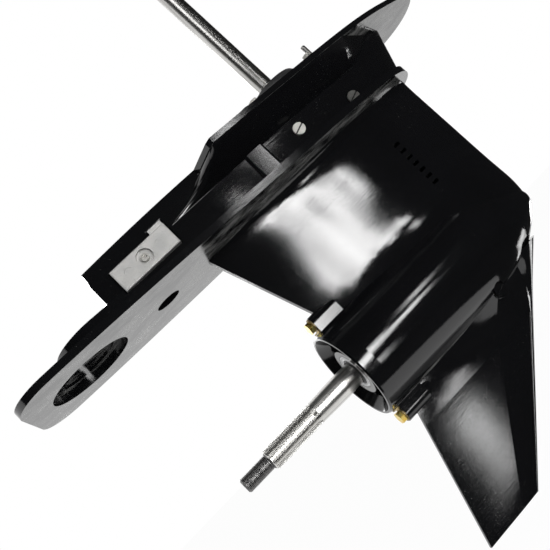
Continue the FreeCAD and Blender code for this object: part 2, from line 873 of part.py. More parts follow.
def driveshaft():
    thread_end = pinion_bottom - pinion_nut_height
    steps = [(0, thread_end), (pinion_thread_radius, thread_end),
             (pinion_thread_radius, pinion_bottom), (pinion_seat_radius, pinion_bottom),
             (pinion_seat_radius, pinion_top), (driveshaft_radius, pinion_top),
             (driveshaft_radius, driveshaft_step_height - 1),
             (driveshaft_free_radius, driveshaft_step_height),
             (driveshaft_free_radius, driveshaft_top - driveshaft_spline_length - 6),
             (driveshaft_spline_root, driveshaft_top - driveshaft_spline_length),
             (driveshaft_spline_root, driveshaft_top), (0, driveshaft_top)]
    shaft = turned_z(steps)
    start = driveshaft_top - driveshaft_spline_length
    outline = star(driveshaft_spline_teeth, driveshaft_spline_root, driveshaft_spline_radius,
                   0.62, 0.34, lambda a, b: point(a, b, start))
    spline = raised(outline, driveshaft_spline_length - 1.5)
    keyway = block(driveshaft_radius - key_depth, driveshaft_radius + 1, -key_width / 2,
                   key_width / 2, pump_floor + 2, pump_floor + key_top)
    return shaft.fuse(spline).cut(keyway)


def pinion_nut():
    nut = hexagon_z(pinion_nut_radius, pinion_bottom - pinion_nut_height, pinion_bottom)
    return nut.cut(rod_z(pinion_thread_radius, 0, pinion_bottom))


def prop_shaft():
    steps = [(prop_front_x, 0), (prop_front_x, prop_front_radius - 1),
             (prop_front_x - 1, prop_front_radius), (prop_step_x, prop_front_radius),
             (prop_step_x, prop_shaft_radius), (carrier_hub_aft_x - 4, prop_shaft_radius),
             (prop_cone_front_x, prop_cone_radius), (prop_cone_aft_x, prop_spline_radius),
             (prop_cone_aft_x - 5, prop_spline_root), (prop_spline_aft_x - 1, prop_spline_root),
             (prop_spline_aft_x - 3, prop_thread_radius),
             (prop_end_x + 1.5, prop_thread_radius), (prop_end_x, prop_thread_radius - 1.5),
             (prop_end_x, 0)]
    shaft = turned_x(steps)
    outline = star(prop_spline_teeth, prop_spline_root, prop_spline_radius, 0.62, 0.38,
                   lambda a, b: point(prop_spline_aft_x, a, b))
    length = prop_cone_aft_x - prop_spline_aft_x
    spline = Part.Face(outline).extrude(point(length, 0))
    bore = rod_x(prop_bore_radius, prop_bore_end_x, prop_front_x + 1)
    travel = cross_pin_radius + dog_travel + running_gap * 4
    slot = block(-travel, travel, -prop_shaft_radius - 1, prop_shaft_radius + 1,
                 -cross_pin_radius - running_gap, cross_pin_radius + running_gap)
    return shaft.fuse(spline).cut([bore, slot])


# Shift linkage

def shift_shaft():
    shoulder = shift_top - shift_tip_length
    return turned_z([(0, crank_bottom), (shift_shaft_radius, crank_bottom),
                     (shift_shaft_radius, shoulder - 1), (shift_tip_radius, shoulder),
                     (shift_tip_radius, shift_top - 1), (shift_tip_radius - 1, shift_top),
                     (0, shift_top)], shift_x)


def shift_crank():
    top = crank_bottom + crank_thickness - soft_gap
    disc = rod_z(crank_radius, crank_bottom, top, shift_x)
    pin = rod_z(crank_pin_radius, -follower_half, crank_bottom, shift_x, shift_throw)
    return disc.fuse(pin).cut(rod_z(shift_shaft_radius, crank_bottom, top, shift_x))


def cam_follower():
    # A block with a cross slot for the crank pin, a guide ahead and a stem aft that ends
    # in the knob which the plunger holds.
    head = block(follower_aft_x, follower_front_x, -follower_half,
                 shift_throw + follower_half, -follower_half, follower_half)
    slot_half = crank_pin_radius + crank_slot_gap
    slot = block(shift_x - slot_half, shift_x + slot_half, crank_pin_radius,
                 shift_throw + follower_half + 1, -follower_half - 1, follower_half + 1)
    knob_front = pocket_front_x - soft_gap
    stem = turned_x([(pocket_aft_x + soft_gap, 0), (pocket_aft_x + soft_gap, knob_radius),
                     (knob_front, knob_radius), (knob_front, neck_radius),
                     (plunger_end_x + soft_gap, neck_radius),
                     (plunger_end_x + soft_gap, follower_stem_radius),
                     (follower_aft_x + 1, follower_stem_radius), (follower_aft_x + 1, 0)])
    guide = rod_x(follower_guide_radius, follower_front_x - 1, cam_room_front_x + 5)
    return joined([head.cut(slot), stem, guide])


def shift_plunger():
    back = -cross_pin_radius * 2
    body = rod_x(plunger_radius, back, plunger_end_x)
    pocket = rod_x(knob_radius + soft_gap, pocket_aft_x, pocket_front_x)
    lip = rod_x(neck_radius + soft_gap, pocket_front_x - 1, plunger_end_x + 1)
    knob_way = block(pocket_aft_x, pocket_front_x, -knob_radius - soft_gap,
                     knob_radius + soft_gap, -plunger_radius - 1, 0)
    neck_way = block(pocket_front_x - 1, plunger_end_x + 1, -neck_radius - soft_gap,
                     neck_radius + soft_gap, -plunger_radius - 1, 0)
    hole = rod_y(cross_pin_radius, -plunger_radius - 1, plunger_radius + 1)
    return body.cut([pocket, lip, knob_way, neck_way, hole])


# Bearings

def tapered_bearing(inner, outer, length, slope):
    # The cup, cone and rollers of a tapered roller bearing that stands on Z = 0 and
    # opens upwards, as (radius, z) profiles turned about Z.
    middle = (inner + outer) / 2
    roller = (outer - inner) * roller_share
    lean = math.tan(math.radians(slope))
    rise = lean * length / 2
    cup_face = roller + roller_gap
    cup = turned_z([(outer, 0), (outer, length), (middle + rise + cup_face, length),
                    (middle - rise + cup_face, 0)])
    cone = turned_z([(inner, 0), (inner, length), (middle + rise - cup_face, length),
                     (middle - rise - cup_face, 0)])
    start = point(middle - rise + lean * roller_inset, 0, roller_inset)
    along = point(lean, 0, 1).normalize()
    pin = Part.makeCylinder(roller * math.cos(math.radians(slope)),
                            length - 2 * roller_inset, start, along)
    rollers = Part.makeCompound(turned_copies(pin, roller_count, (0, 0, 1)))
    return cup, cone, rollers


def facing_bow(shape, x):
    return shape.rotated(point(0, 0), point(0, 1), 90).translated(point(x, 0))


def facing_stern(shape, x):
    return shape.rotated(point(0, 0), point(0, 1), -90).translated(point(x, 0))


def needle_bearing(shaft, seat, length):
    # A thin shell and its needles, standing on Z = 0.
    shell_inner = shaft + 2 * needle_radius + 3 * roller_gap
    shell = ring_z(shell_inner, seat, 0, length)
    needle = rod_z(needle_radius, needle_inset, length - needle_inset,
                   shaft + needle_radius + roller_gap)
    needles = Part.makeCompound(turned_copies(needle, needle_count, (0, 0, 1)))
    return shell, needles


# Bearing carrier

def bearing_carrier():
    bore = prop_shaft_radius + running_gap + carrier_bore_gap
    waist = carrier_hub_radius - carrier_waist_depth
    front = turned_x([(carrier_front_x, forward_seat_radius), (carrier_front_x, gear_bore_radius),
                      (carrier_ring_aft_x, gear_bore_radius), (carrier_ring_aft_x, bore),
                      (carrier_seat_aft_x, bore), (carrier_seat_aft_x, forward_seat_radius)])
    hub = turned_x([(carrier_ring_aft_x + 1, bore),
                    (carrier_ring_aft_x + 1, carrier_neck_radius),
                    (carrier_ring_aft_x - carrier_neck_length, waist),
                    (carrier_needle_aft_x, waist),
                    (carrier_seal_front_x, carrier_hub_radius),
                    (carrier_hub_aft_x, carrier_hub_radius),
                    (carrier_hub_aft_x, bore)])
    shell = turned_x([(carrier_shell_front_x, carrier_shell_inner),
                      (carrier_shell_front_x, gear_bore_radius),
                      (gearcase_aft_x, gear_bore_radius), (gearcase_aft_x, torpedo_radius),
                      (carrier_aft_x + 2, torpedo_radius - 0.6),
                      (carrier_aft_x, torpedo_radius - 2),
                      (carrier_aft_x, carrier_shell_inner + 6),
                      (gearcase_aft_x - 4, carrier_shell_inner)])
    rib = block(carrier_hub_aft_x + 6, carrier_shell_front_x - 2, -carrier_rib_thickness / 2,
                carrier_rib_thickness / 2, carrier_hub_radius - 6, carrier_shell_inner + 2)
    ribs = turned_copies(rib, carrier_rib_count, (1, 0, 0), 45)
    ears = []
    for side in (1, -1):
        height = side * carrier_bolt_height
        edges = sorted((side * (torpedo_radius - 4), height))
        ears.append(rod_x(carrier_ear_radius, carrier_ear_aft_x, gearcase_aft_x, 0, height))
        ears.append(block(carrier_ear_aft_x, gearcase_aft_x, -carrier_ear_radius,
                          carrier_ear_radius, *edges))
    body = joined([front, hub, shell] + ribs + ears)
    holes = [rod_x(carrier_needle_seat, carrier_needle_front_x, carrier_needle_aft_x),
             rod_x(carrier_seal_seat, carrier_seal_front_x, carrier_hub_aft_x - 1),
             ring_x(gear_bore_radius - ring_section, gear_bore_radius + 1,
                    ring_front_x(), ring_front_x() - ring_section)]
    for side in (1, -1):
        holes.append(rod_x(carrier_bolt_radius, carrier_ear_aft_x - 1, gearcase_aft_x + 1, 0,
                           side * carrier_bolt_height))
    return body.cut(holes)


def ring_front_x():
    return ring_place_x + ring_section / 2


def carrier_ring():
    return ring_x(gear_bore_radius - ring_section, gear_bore_radius, ring_front_x(),
                  ring_front_x() - ring_section)


def carrier_bolts():
    bolts = []
    for side in (1, -1):
        height = side * carrier_bolt_height
        head_x = carrier_ear_aft_x - tab_thickness
        shank = rod_x(carrier_bolt_radius, head_x, head_x + carrier_bolt_length, 0, height)
        head = hexagon_x(carrier_head_radius, head_x - carrier_head_height, head_x, height)
        bolts.append(head.fuse(shank))
    return Part.makeCompound(bolts)


def carrier_tabs():
    # A lock tab under each bolt head, with one ear bent up against the head.
    tabs = []
    for side in (1, -1):
        height = side * carrier_bolt_height
        x = carrier_ear_aft_x
        disc = rod_x(tab_disc_radius, x - tab_thickness, x, 0, height)
        tip = height - side * tab_reach
        tongue = block(x - tab_thickness, x, -tab_tongue_half, tab_tongue_half,
                       *sorted((height, tip)))
        bent = block(x - tab_bend_length, x, -tab_bend_half, tab_bend_half,
                     *sorted((tip, tip + side * 1.5)))
        hole = rod_x(carrier_bolt_radius, x - tab_thickness - 1, x + 1, 0, height)
        tabs.append(joined([disc, tongue, bent]).cut(hole))
    return Part.makeCompound(tabs)


def prop_seals():
    inner = prop_shaft_radius + running_gap
    start = carrier_hub_aft_x + 1
    seals = [ring_x(inner, carrier_seal_seat, start + i * (seal_length + 1),
                    start + i * (seal_length + 1) + seal_length) for i in range(2)]
    return Part.makeCompound(seals)


# Water pump

def pump_plan(margin, z, height):
    # The rounded rectangle that the pump's flat pieces share.
    side = pump_side - margin
    slab = block(pump_aft_x + margin, pump_front_x - margin, -side, side, z, z + height)
    upright = [edge for edge in slab.Edges if edge.BoundBox.ZLength > height / 2]
    return slab.makeFillet(pump_corner - margin, upright)


def pump_bolt_places():
    return [(x, y) for x in (pump_aft_x + pump_bolt_inset, pump_front_x - pump_bolt_inset)
            for y in (pump_side - pump_bolt_inset, pump_bolt_inset - pump_side)]


def pump_bolt_holes(from_z, to_z):
    return [rod_z(pump_bolt_radius, from_z, to_z, x, y) for x, y in pump_bolt_places()]


def water_port(from_z, to_z):
    return block(water_port_aft_x, water_port_front_x, -water_port_half, water_port_half,
                 from_z, to_z)


def pump_base():
    top = face_height + pump_base_height
    flange = pump_plan(0, face_height, pump_base_height)
    spigot = rod_z(upper_seat_radius, upper_seat_top + upper_nut_height, face_height)
    seats = rod_z(seal_seat_radius, seal_bottom, top + 1)
    bore = rod_z(driveshaft_radius + 1, upper_seat_top, top)
    body = flange.fuse(spigot)
    return body.cut([seats, bore, water_port(face_height - 1, top + 1)]
                    + pump_bolt_holes(face_height - 1, top + 1))


def driveshaft_seals():
    inner = driveshaft_radius + running_gap
    return Part.makeCompound([ring_z(inner, seal_seat_radius, seal_bottom + i * (seal_length + 1),
                                     seal_bottom + i * (seal_length + 1) + seal_length)
                              for i in range(2)])


def pump_gasket():
    bottom = face_height + pump_base_height
    sheet = pump_plan(0, bottom, pump_gasket_thickness)
    return sheet.cut([rod_z(seal_seat_radius, bottom - 1, bottom + 2),
                      water_port(bottom - 1, bottom + 2)]
                     + pump_bolt_holes(bottom - 1, bottom + 2))


def pump_wear_plate():
    bottom = pump_plate_bottom
    sheet = pump_plan(0, bottom, pump_plate_thickness)
    intake = block(pump_offset + 13, pump_offset + 21, -8.0, 8.0, bottom - 1, pump_floor + 1)
    return sheet.cut([rod_z(driveshaft_radius + 1, bottom - 1, pump_floor + 1), intake]
                     + pump_bolt_holes(bottom - 1, pump_floor + 1))


def pump_cup():
    outer = pump_cup_inner + pump_cup_wall
    roof = pump_floor + pump_cup_depth
    cup = rod_z(outer, pump_floor, roof + pump_cup_wall, pump_offset)
    room = rod_z(pump_cup_inner, pump_floor - 1, roof, pump_offset)
    bore = rod_z(driveshaft_radius + 1.5, pump_floor, roof + pump_cup_wall + 1)
    return cup.cut([room, bore])


def pump_housing():
    outer = pump_cup_inner + pump_cup_wall
    roof = pump_floor + pump_cup_depth + pump_cup_wall
    flange = pump_plan(0, pump_floor, pump_flange_height)
    edge = pump_body_radius
    dome = turned_z([(0, pump_floor), (edge, pump_floor), (edge - 2, pump_body_top - 6),
                     (edge - 5, pump_body_top - 1.5), (edge - 9, pump_body_top),
                     (pump_neck_radius + 3, pump_body_top),
                     (pump_neck_radius, pump_body_top + 3), (pump_neck_radius, pump_neck_top),
                     (0, pump_neck_top)], pump_offset)
    foot = [rod_z(pump_foot_radius, pump_floor, pump_bolt_seat, x, y)
            for x, y in pump_bolt_places()]
    socket = rod_z(water_socket_radius, pump_floor, pump_neck_top, water_socket_x, water_socket_y)
    body = joined([flange, dome, socket] + foot)
    return body.cut([rod_z(outer, pump_floor - 1, roof, pump_offset),
                     rod_z(driveshaft_radius + 1, pump_floor, pump_neck_top + 1),
                     rod_z(water_socket_bore, water_socket_bottom, pump_neck_top + 1,
                           water_socket_x, water_socket_y)]
                    + pump_bolt_holes(pump_floor - 1, pump_neck_top))


def water_tube_seal():
    inside = ring_z(water_pipe_radius, water_socket_bore, water_socket_bottom, pump_neck_top,
                    water_socket_x, water_socket_y)
    collar = ring_z(water_pipe_radius, water_socket_radius - 1, pump_neck_top,
                    pump_neck_top + water_collar_height, water_socket_x, water_socket_y)
    return inside.fuse(collar)


def pump_bolts():
    seat = pump_bolt_seat
    bolts = [hexagon_z(pump_head_radius, seat, seat + pump_head_height, x, y)
             .fuse(rod_z(pump_bolt_radius, face_height - pump_bolt_depth, seat, x, y))
             for x, y in pump_bolt_places()]
    return Part.makeCompound(bolts)


def impeller():
    # A rubber hub with curved vanes, standing between the wear plate and the cup's roof.
    bottom = pump_floor + (pump_cup_depth - impeller_height) / 2
    hub = ring_z(driveshaft_radius, impeller_hub_radius, bottom, bottom + impeller_height)
    middle = (impeller_tip_radius + impeller_hub_radius - 1) / 2
    reach = (impeller_tip_radius - impeller_hub_radius + 1) / 2
    bend = reach * 1.6
    arch = ring_z(bend - impeller_vane_thickness / 2, bend + impeller_vane_thickness / 2,
                  bottom + 0.5, bottom + impeller_height - 0.5, middle, bend)
    keep = block(middle - reach, middle + reach, -2.0, bend, bottom, bottom + impeller_height)
    vane = arch.common(keep)
    vanes = turned_copies(vane, impeller_vanes, (0, 0, 1))
    tips = rod_z(impeller_tip_radius, bottom, bottom + impeller_height)
    bladed = joined([hub] + vanes).common(tips)
    keyway = block(0, driveshaft_radius + key_depth, -key_width / 2, key_width / 2,
                   bottom - 1, bottom + impeller_height + 1)
    return bladed.cut(keyway)


def impeller_key():
    return block(driveshaft_radius - key_depth, driveshaft_radius + key_depth - 0.2,
                 -key_width / 2, key_width / 2, pump_floor + 2, pump_floor + key_top)


# Shift shaft bush

def shift_bush():
    bore = shift_shaft_radius + running_gap
    top = face_height + bush_flange_height
    return turned_z([(bore, face_height - bush_length), (shift_bore_radius,
                                                        face_height - bush_length),
                     (shift_bore_radius, face_height), (bush_flange_radius, face_height),
                     (bush_flange_radius, top - 1), (bush_flange_radius - 1, top),
                     (shift_bore_radius + 1.5, top),
                     (shift_bore_radius + 0.5, top + bush_collar_height),
                     (bush_ring_inner(), top + bush_collar_height),
                     (bush_ring_inner(), top + 1),
                     (bore, top + 1)], shift_x)


def bush_ring_inner():
    return shift_shaft_radius + bush_lip_gap


def shift_seal():
    top = face_height + bush_flange_height
    return ring_z(shift_shaft_radius + running_gap, bush_ring_inner(), top + 1,
                  top + bush_collar_height - 0.5, shift_x)


def upper_nut():
    return ring_z(seal_seat_radius + 1, upper_seat_radius, upper_seat_top,
                  upper_seat_top + upper_nut_height)


def dowels():
    # Stepped pins: the thicker end is pressed in, the thinner one locates the leg above.
    bottom = face_height - dowel_depth
    top = face_height + dowel_rise
    profile = [(0, bottom), (dowel_seat_radius, bottom), (dowel_seat_radius, face_height),
               (dowel_radius, face_height), (dowel_radius, top), (0, top)]
    return Part.makeCompound([turned_z(profile, dowel_x, y) for y in (dowel_side, -dowel_side)])


# Plug screws, washers and anodes

def plug_places():
    # Place on the starboard wall and the depth at which each screw's washer seats.
    return ((level_screw_x, level_screw_height, -level_seat_y),
            (flush_screw_x, flush_screw_height, -flush_seat_y),
            (drain_screw_x, drain_screw_height, -drain_seat_y))


def drain_boss():
    x, z, seat = plug_places()[2]
    return rod_y(spot_face_radius + 1, seat, seat + screw_length + 4, x, z)


def plug_hole(place):
    # The thread's hole, with a flat spot face on the wall for the washer.
    x, z, seat = place
    hole = rod_y(screw_radius, seat - 1, seat + screw_length + 2, x, z)
    return hole.fuse(rod_y(spot_face_radius, seat - spot_face_depth, seat, x, z))


def plug_screw(place):
    x, z, seat = place
    outer = seat - washer_thickness
    head = rod_y(screw_head_radius, outer - screw_head_length, outer, x, z)
    shank = rod_y(screw_radius, outer, outer + screw_length, x, z)
    slot = block(x - screw_head_radius - 1, x + screw_head_radius + 1,
                 outer - screw_head_length - 1, outer - screw_head_length + screw_slot_depth,
                 z - screw_slot / 2, z + screw_slot / 2)
    slot.rotate(point(x, 0, z), point(0, 1), screw_slot_turn)
    return head.fuse(shank).cut(slot)


def plug_washers():
    rings = [rod_y(screw_head_radius - 0.4, seat - washer_thickness, seat, x, z)
             .cut(rod_y(screw_radius, seat - washer_thickness - 1, seat + 1, x, z))
             for x, z, seat in plug_places()]
    return Part.makeCompound(rings)


def anode_frame(shape):
    # Pieces are drawn on a wall that faces starboard at Y = 0, then laid on the real wall.
    turned = shape.rotated(point(0, 0), point(0, 0, 1), -anode_turn)
    return turned.translated(point(anode_x, -anode_wall_y, anode_height))


def anode_recess():
    gap = anode_recess_gap
    pocket = block(-anode_length / 2 - gap, anode_length / 2 + gap, -12.0,
                   anode_thickness - anode_proud, -anode_width / 2 - gap,
                   anode_width / 2 + gap)
    hole = rod_y(anode_bolt_radius, 0, anode_thickness + 9)
    notch = block(anode_lug_aft - 2, anode_lug_front + 2, -12.0,
                  anode_lug_thickness, anode_width / 2,
                  anode_width / 2 + anode_lug_rise + gap)
    return anode_frame(pocket.fuse([hole, notch]))


def anode():
    front = -anode_proud
    bar = block(-anode_length / 2, anode_length / 2, front, front + anode_thickness,
                -anode_width / 2, anode_width / 2)
    edges = [edge for edge in bar.Edges if edge.BoundBox.YMax < front + 0.01]
    bar = bar.makeFillet(anode_edge_radius, edges)
    lug = block(anode_lug_aft, anode_lug_front, front + 1, front + 1 + anode_lug_thickness,
                anode_width / 2 - 1, anode_width / 2 + anode_lug_rise)
    counterbore = rod_y(anode_counterbore_radius, front - 1, front + anode_counterbore_depth)
    hole = rod_y(anode_bolt_radius, front, front + anode_thickness + 1)
    marks = [rod_y(anode_mark_radius, front - 1, front + anode_mark_depth, x, 0)
             for x in anode_mark_places]
    return anode_frame(bar.fuse(lug).cut([counterbore, hole] + marks))


def anode_bolt():
    seat = -anode_proud + anode_counterbore_depth
    head = rod_y(anode_head_radius, seat - anode_head_height, seat)
    shank = rod_y(anode_bolt_radius, seat, anode_thickness + 8)
    corners = [point(2.6 * math.cos(math.radians(60 * i)), seat - 5,
                     2.6 * math.sin(math.radians(60 * i))) for i in range(7)]
    socket = Part.Face(Part.makePolygon(corners)).extrude(point(0, 3.0))
    return anode_frame(head.fuse(shank).cut(socket))


# Every piece, saved under its own name

def pieces():
    forward_length = forward_seat_front_x - gear_back_x
    forward = tapered_bearing(gear_hub_radius, forward_seat_radius, forward_length - 0.5, 14)
    upper = tapered_bearing(driveshaft_radius, upper_seat_radius,
                            upper_seat_top - upper_seat_bottom, 13)
    lower_shell, lower_needles = needle_bearing(driveshaft_radius, needle_seat_radius,
                                                needle_seat_top - pinion_room_top)
    aft_shell, aft_needles = needle_bearing(prop_shaft_radius, carrier_needle_seat,
                                            carrier_needle_front_x - carrier_needle_aft_x)
    forward_gear = drive_gear(prop_front_radius + running_gap, 0.5)
    reverse_gear = drive_gear(prop_shaft_radius + running_gap, 0.0)
    screws = plug_places()
    found = {
        "gearcase_housing": gearcase(),
        "bearing_carrier": bearing_carrier(),
        "carrier_o_ring": carrier_ring(),
        "carrier_bolts": carrier_bolts(),
        "carrier_lock_tabs": carrier_tabs(),
        "prop_shaft_seals": prop_seals(),
        "carrier_needle_shell": facing_bow(aft_shell, carrier_needle_aft_x),
        "carrier_needles": facing_bow(aft_needles, carrier_needle_aft_x),
        "pinion_needle_shell": lower_shell.translated(point(0, 0, pinion_room_top)),
        "pinion_needles": lower_needles.translated(point(0, 0, pinion_room_top)),
        "pinion_gear": pinion_gear(),
        "pinion_nut": pinion_nut(),
        "driveshaft": driveshaft(),
        "forward_gear": forward_gear,
        "reverse_gear": reverse_gear.rotated(point(0, 0), point(0, 0, 1), 180),
        "clutch_dog": clutch_dog(),
        "cross_pin": cross_pin(),
        "cross_pin_spring": pin_spring(),
        "prop_shaft": prop_shaft(),
        "shift_shaft": shift_shaft(),
        "shift_crank": shift_crank(),
        "cam_follower": cam_follower(),
        "shift_plunger": shift_plunger(),
        "shift_bush": shift_bush(),
        "shift_shaft_seal": shift_seal(),
        "upper_bearing_nut": upper_nut(),
        "pump_base": pump_base(),
        "driveshaft_seals": driveshaft_seals(),
        "pump_gasket": pump_gasket(),
        "pump_wear_plate": pump_wear_plate(),
        "pump_cup": pump_cup(),
        "pump_housing": pump_housing(),
        "water_tube_seal": water_tube_seal(),
        "pump_bolts": pump_bolts(),
        "impeller": impeller(),
        "impeller_key": impeller_key(),
        "dowel_pins": dowels(),
        "oil_level_screw": plug_screw(screws[0]),
        "flush_screw": plug_screw(screws[1]),
        "oil_drain_screw": plug_screw(screws[2]),
        "screw_washers": plug_washers(),
        "starboard_anode": anode(),
        "port_anode": port_copy(anode()),
        "anode_bolts": Part.makeCompound([anode_bolt(), port_copy(anode_bolt())]),
    }
    names = ("cup", "cone", "rollers")
    for name, shape in zip(names, forward):
        found[f"forward_bearing_{name}"] = facing_stern(shape, forward_seat_front_x)
        found[f"reverse_bearing_{name}"] = facing_bow(shape, -forward_seat_front_x)
    for name, shape in zip(names, upper):
        found[f"upper_bearing_{name}"] = shape.translated(point(0, 0, upper_seat_bottom))
    return found


os.makedirs("parts", exist_ok=True)
for name, shape in pieces().items():
    save(name, shape)
    print(name, shape.isValid(), len(shape.Solids), round(shape.Volume))
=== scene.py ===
import math

import bmesh
import bpy
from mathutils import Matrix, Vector


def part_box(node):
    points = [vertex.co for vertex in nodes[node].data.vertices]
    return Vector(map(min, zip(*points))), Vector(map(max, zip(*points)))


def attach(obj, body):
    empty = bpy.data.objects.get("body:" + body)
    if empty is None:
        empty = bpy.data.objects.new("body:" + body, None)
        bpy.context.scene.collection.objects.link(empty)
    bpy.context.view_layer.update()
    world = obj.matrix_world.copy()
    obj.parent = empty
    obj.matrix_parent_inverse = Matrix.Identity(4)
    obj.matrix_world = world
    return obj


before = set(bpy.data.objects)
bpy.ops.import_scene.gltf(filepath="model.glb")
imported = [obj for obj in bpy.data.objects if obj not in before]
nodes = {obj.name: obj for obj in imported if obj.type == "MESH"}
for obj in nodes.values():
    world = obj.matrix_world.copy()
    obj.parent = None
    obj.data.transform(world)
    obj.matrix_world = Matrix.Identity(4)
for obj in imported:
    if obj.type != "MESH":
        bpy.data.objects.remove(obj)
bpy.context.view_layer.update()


# The camera
# It stands low on the starboard quarter, astern of the unit, and is rolled over, so the
# upright leg lies across the picture as it does in the photograph.

lens = bpy.data.cameras.new("photo_camera")
lens.lens = 49.443
lens.sensor_width = 36.0
lens.clip_start = 0.02
photo_camera = bpy.data.objects.new("photo_camera", lens)
photo_camera.location = (-0.350678, -0.756189, -0.237255)
photo_camera.rotation_euler = (1.770504, 0.790534, -0.117633)
bpy.context.scene.collection.objects.link(photo_camera)
bpy.context.scene.camera = photo_camera


# The studio
# A pale matt floor lies well below the skeg, in a white room. A tall window stands to
# starboard with black cloth round it, and weak lamps fill the shadows on every side.

class Value:
    """A node's output socket, with which sums are written as they are on paper."""

    def __init__(self, finish, socket):
        self.finish = finish
        self.socket = socket

    def sum_with(self, operation, other, swap=False):
        pair = [other, self] if swap else [self, other]
        return self.finish.add("ShaderNodeMath", {"operation": operation},
                               {0: pair[0], 1: pair[1]})[0]

    def __add__(self, other):
        return self.sum_with("ADD", other)

    def __radd__(self, other):
        return self.sum_with("ADD", other)

    def __sub__(self, other):
        return self.sum_with("SUBTRACT", other)

    def __rsub__(self, other):
        return self.sum_with("SUBTRACT", other, swap=True)

    def __mul__(self, other):
        return self.sum_with("MULTIPLY", other)

    def __rmul__(self, other):
        return self.sum_with("MULTIPLY", other)

    def __gt__(self, other):
        return self.sum_with("GREATER_THAN", other)

    def __lt__(self, other):
        return self.sum_with("LESS_THAN", other)


class Finish:
    """One material's nodes, for the studio here and for every piece below."""

    def __init__(self, name):
        self.material = bpy.data.materials.new(name)
        self.material.use_nodes = True
        self.tree = self.material.node_tree
        self.tree.nodes.clear()

    def add(self, kind, settings=None, inputs=None):
        """Adds a node and returns its output sockets as Values."""
        node = self.tree.nodes.new(kind)
        for key, setting in (settings or {}).items():
            if key == "stops":
                ramp = node.color_ramp
                while len(ramp.elements) < len(setting):
                    ramp.elements.new(0.5)
                for element, (place, shade) in zip(ramp.elements, setting):
                    element.position = place
                    element.color = (*shade, 1.0)
            else:
                setattr(node, key, setting)
        for key, given in (inputs or {}).items():
            socket = node.inputs[key]
            if isinstance(given, Value):
                self.tree.links.new(given.socket, socket)
            else:
                socket.default_value = given
        return [Value(self, socket) for socket in node.outputs if socket.enabled]

    def place(self, stretch=(1.0, 1.0, 1.0)):
        """Object coordinates in metres, stretched."""
        here = self.add("ShaderNodeTexCoord")[3]
        return self.add("ShaderNodeMapping", None, {"Vector": here, "Scale": stretch})[0]

    def noise(self, scale, detail=3.0, stretch=(1.0, 1.0, 1.0), rough=0.5):
        return self.add("ShaderNodeTexNoise", None,
                        {"Vector": self.place(stretch), "Scale": scale, "Detail": detail,
                         "Roughness": rough})[0]

    def ramp(self, factor, *stops):
        return self.add("ShaderNodeValToRGB", {"stops": stops}, {"Fac": factor})[0]

    def range(self, factor, low, high, out_low=0.0, out_high=1.0):
        return self.add("ShaderNodeMapRange", None,
                        {"Value": factor, "From Min": low, "From Max": high,
                         "To Min": out_low, "To Max": out_high})[0]

    def blend(self, factor, one, other):
        one = (*one, 1.0) if isinstance(one, tuple) else one
        other = (*other, 1.0) if isinstance(other, tuple) else other
        return self.add("ShaderNodeMix", {"data_type": "RGBA"},
                        {"Factor": factor, 6: one, 7: other})[0]

    def axes(self):
        here = self.add("ShaderNodeTexCoord")[3]
        return self.add("ShaderNodeSeparateXYZ", None, {0: here})

    def bump(self, height, distance, strength=1.0, below=None):
        inputs = {"Height": height, "Distance": distance, "Strength": strength}
        if below is not None:
            inputs["Normal"] = below
        return self.add("ShaderNodeBump", None, inputs)[0]

    def finished(self, **inputs):
        """Closes the tree with one Principled shader."""
        named = {key.replace("_", " "): given for key, given in inputs.items()}
        shader = self.add("ShaderNodeBsdfPrincipled", None, named)[0]
        self.add("ShaderNodeOutputMaterial", None, {"Surface": shader})
        return self.material


floor_level = -1.1
floor_reach = 40
floor_finish = Finish("pale_floor")
ray = floor_finish.add("ShaderNodeLightPath")
camera_ray, glossy_ray, transmission_ray = ray[0], ray[3], ray[6]
seen = floor_finish.add("ShaderNodeMath", {"operation": "ADD", "use_clamp": True},
                        {0: camera_ray + glossy_ray, 1: transmission_ray})[0]
matt = floor_finish.add("ShaderNodeBsdfDiffuse", None, {"Color": (0.82, 0.82, 0.82, 1.0)})[0]
glow = floor_finish.add("ShaderNodeEmission", None, {"Strength": 1.03})[0]
floor_mix = floor_finish.add("ShaderNodeMixShader", None, {0: seen * 0.93, 1: matt, 2: glow})[0]
floor_finish.add("ShaderNodeOutputMaterial", None, {"Surface": floor_mix})

floor_mesh = bpy.data.meshes.new("studio_floor")
floor_mesh.from_pydata([(x * floor_reach, y * floor_reach, floor_level)
                        for x, y in ((-1, -1), (1, -1), (1, 1), (-1, 1))],
                       [], [(0, 1, 2, 3)])
floor_mesh.materials.append(floor_finish.material)
studio_floor = bpy.data.objects.new("studio_floor", floor_mesh)
bpy.context.scene.collection.objects.link(studio_floor)

room = bpy.data.worlds.new("white_room")
room.use_nodes = True
bpy.context.scene.world = room
room_new, room_link = room.node_tree.nodes.new, room.node_tree.links.new
room_ray = room_new("ShaderNodeLightPath")
room_seen = room_new("ShaderNodeMath")
room_link(room_ray.outputs["Is Camera Ray"], room_seen.inputs[0])
room_link(room_ray.outputs["Is Glossy Ray"], room_seen.inputs[1])
room_all = room_new("ShaderNodeMath")
room_all.use_clamp = True
room_link(room_seen.outputs[0], room_all.inputs[0])
room_link(room_ray.outputs["Is Transmission Ray"], room_all.inputs[1])
room_level = room_new("ShaderNodeMapRange")
room_level.inputs["To Min"].default_value = 0.35
room_level.inputs["To Max"].default_value = 1.0
room_link(room_all.outputs[0], room_level.inputs["Value"])
room_shade = room.node_tree.nodes["Background"]
room_link(room_level.outputs[0], room_shade.inputs["Strength"])
room_shade.inputs["Color"].default_value = (1.0, 1.0, 1.0, 1.0)


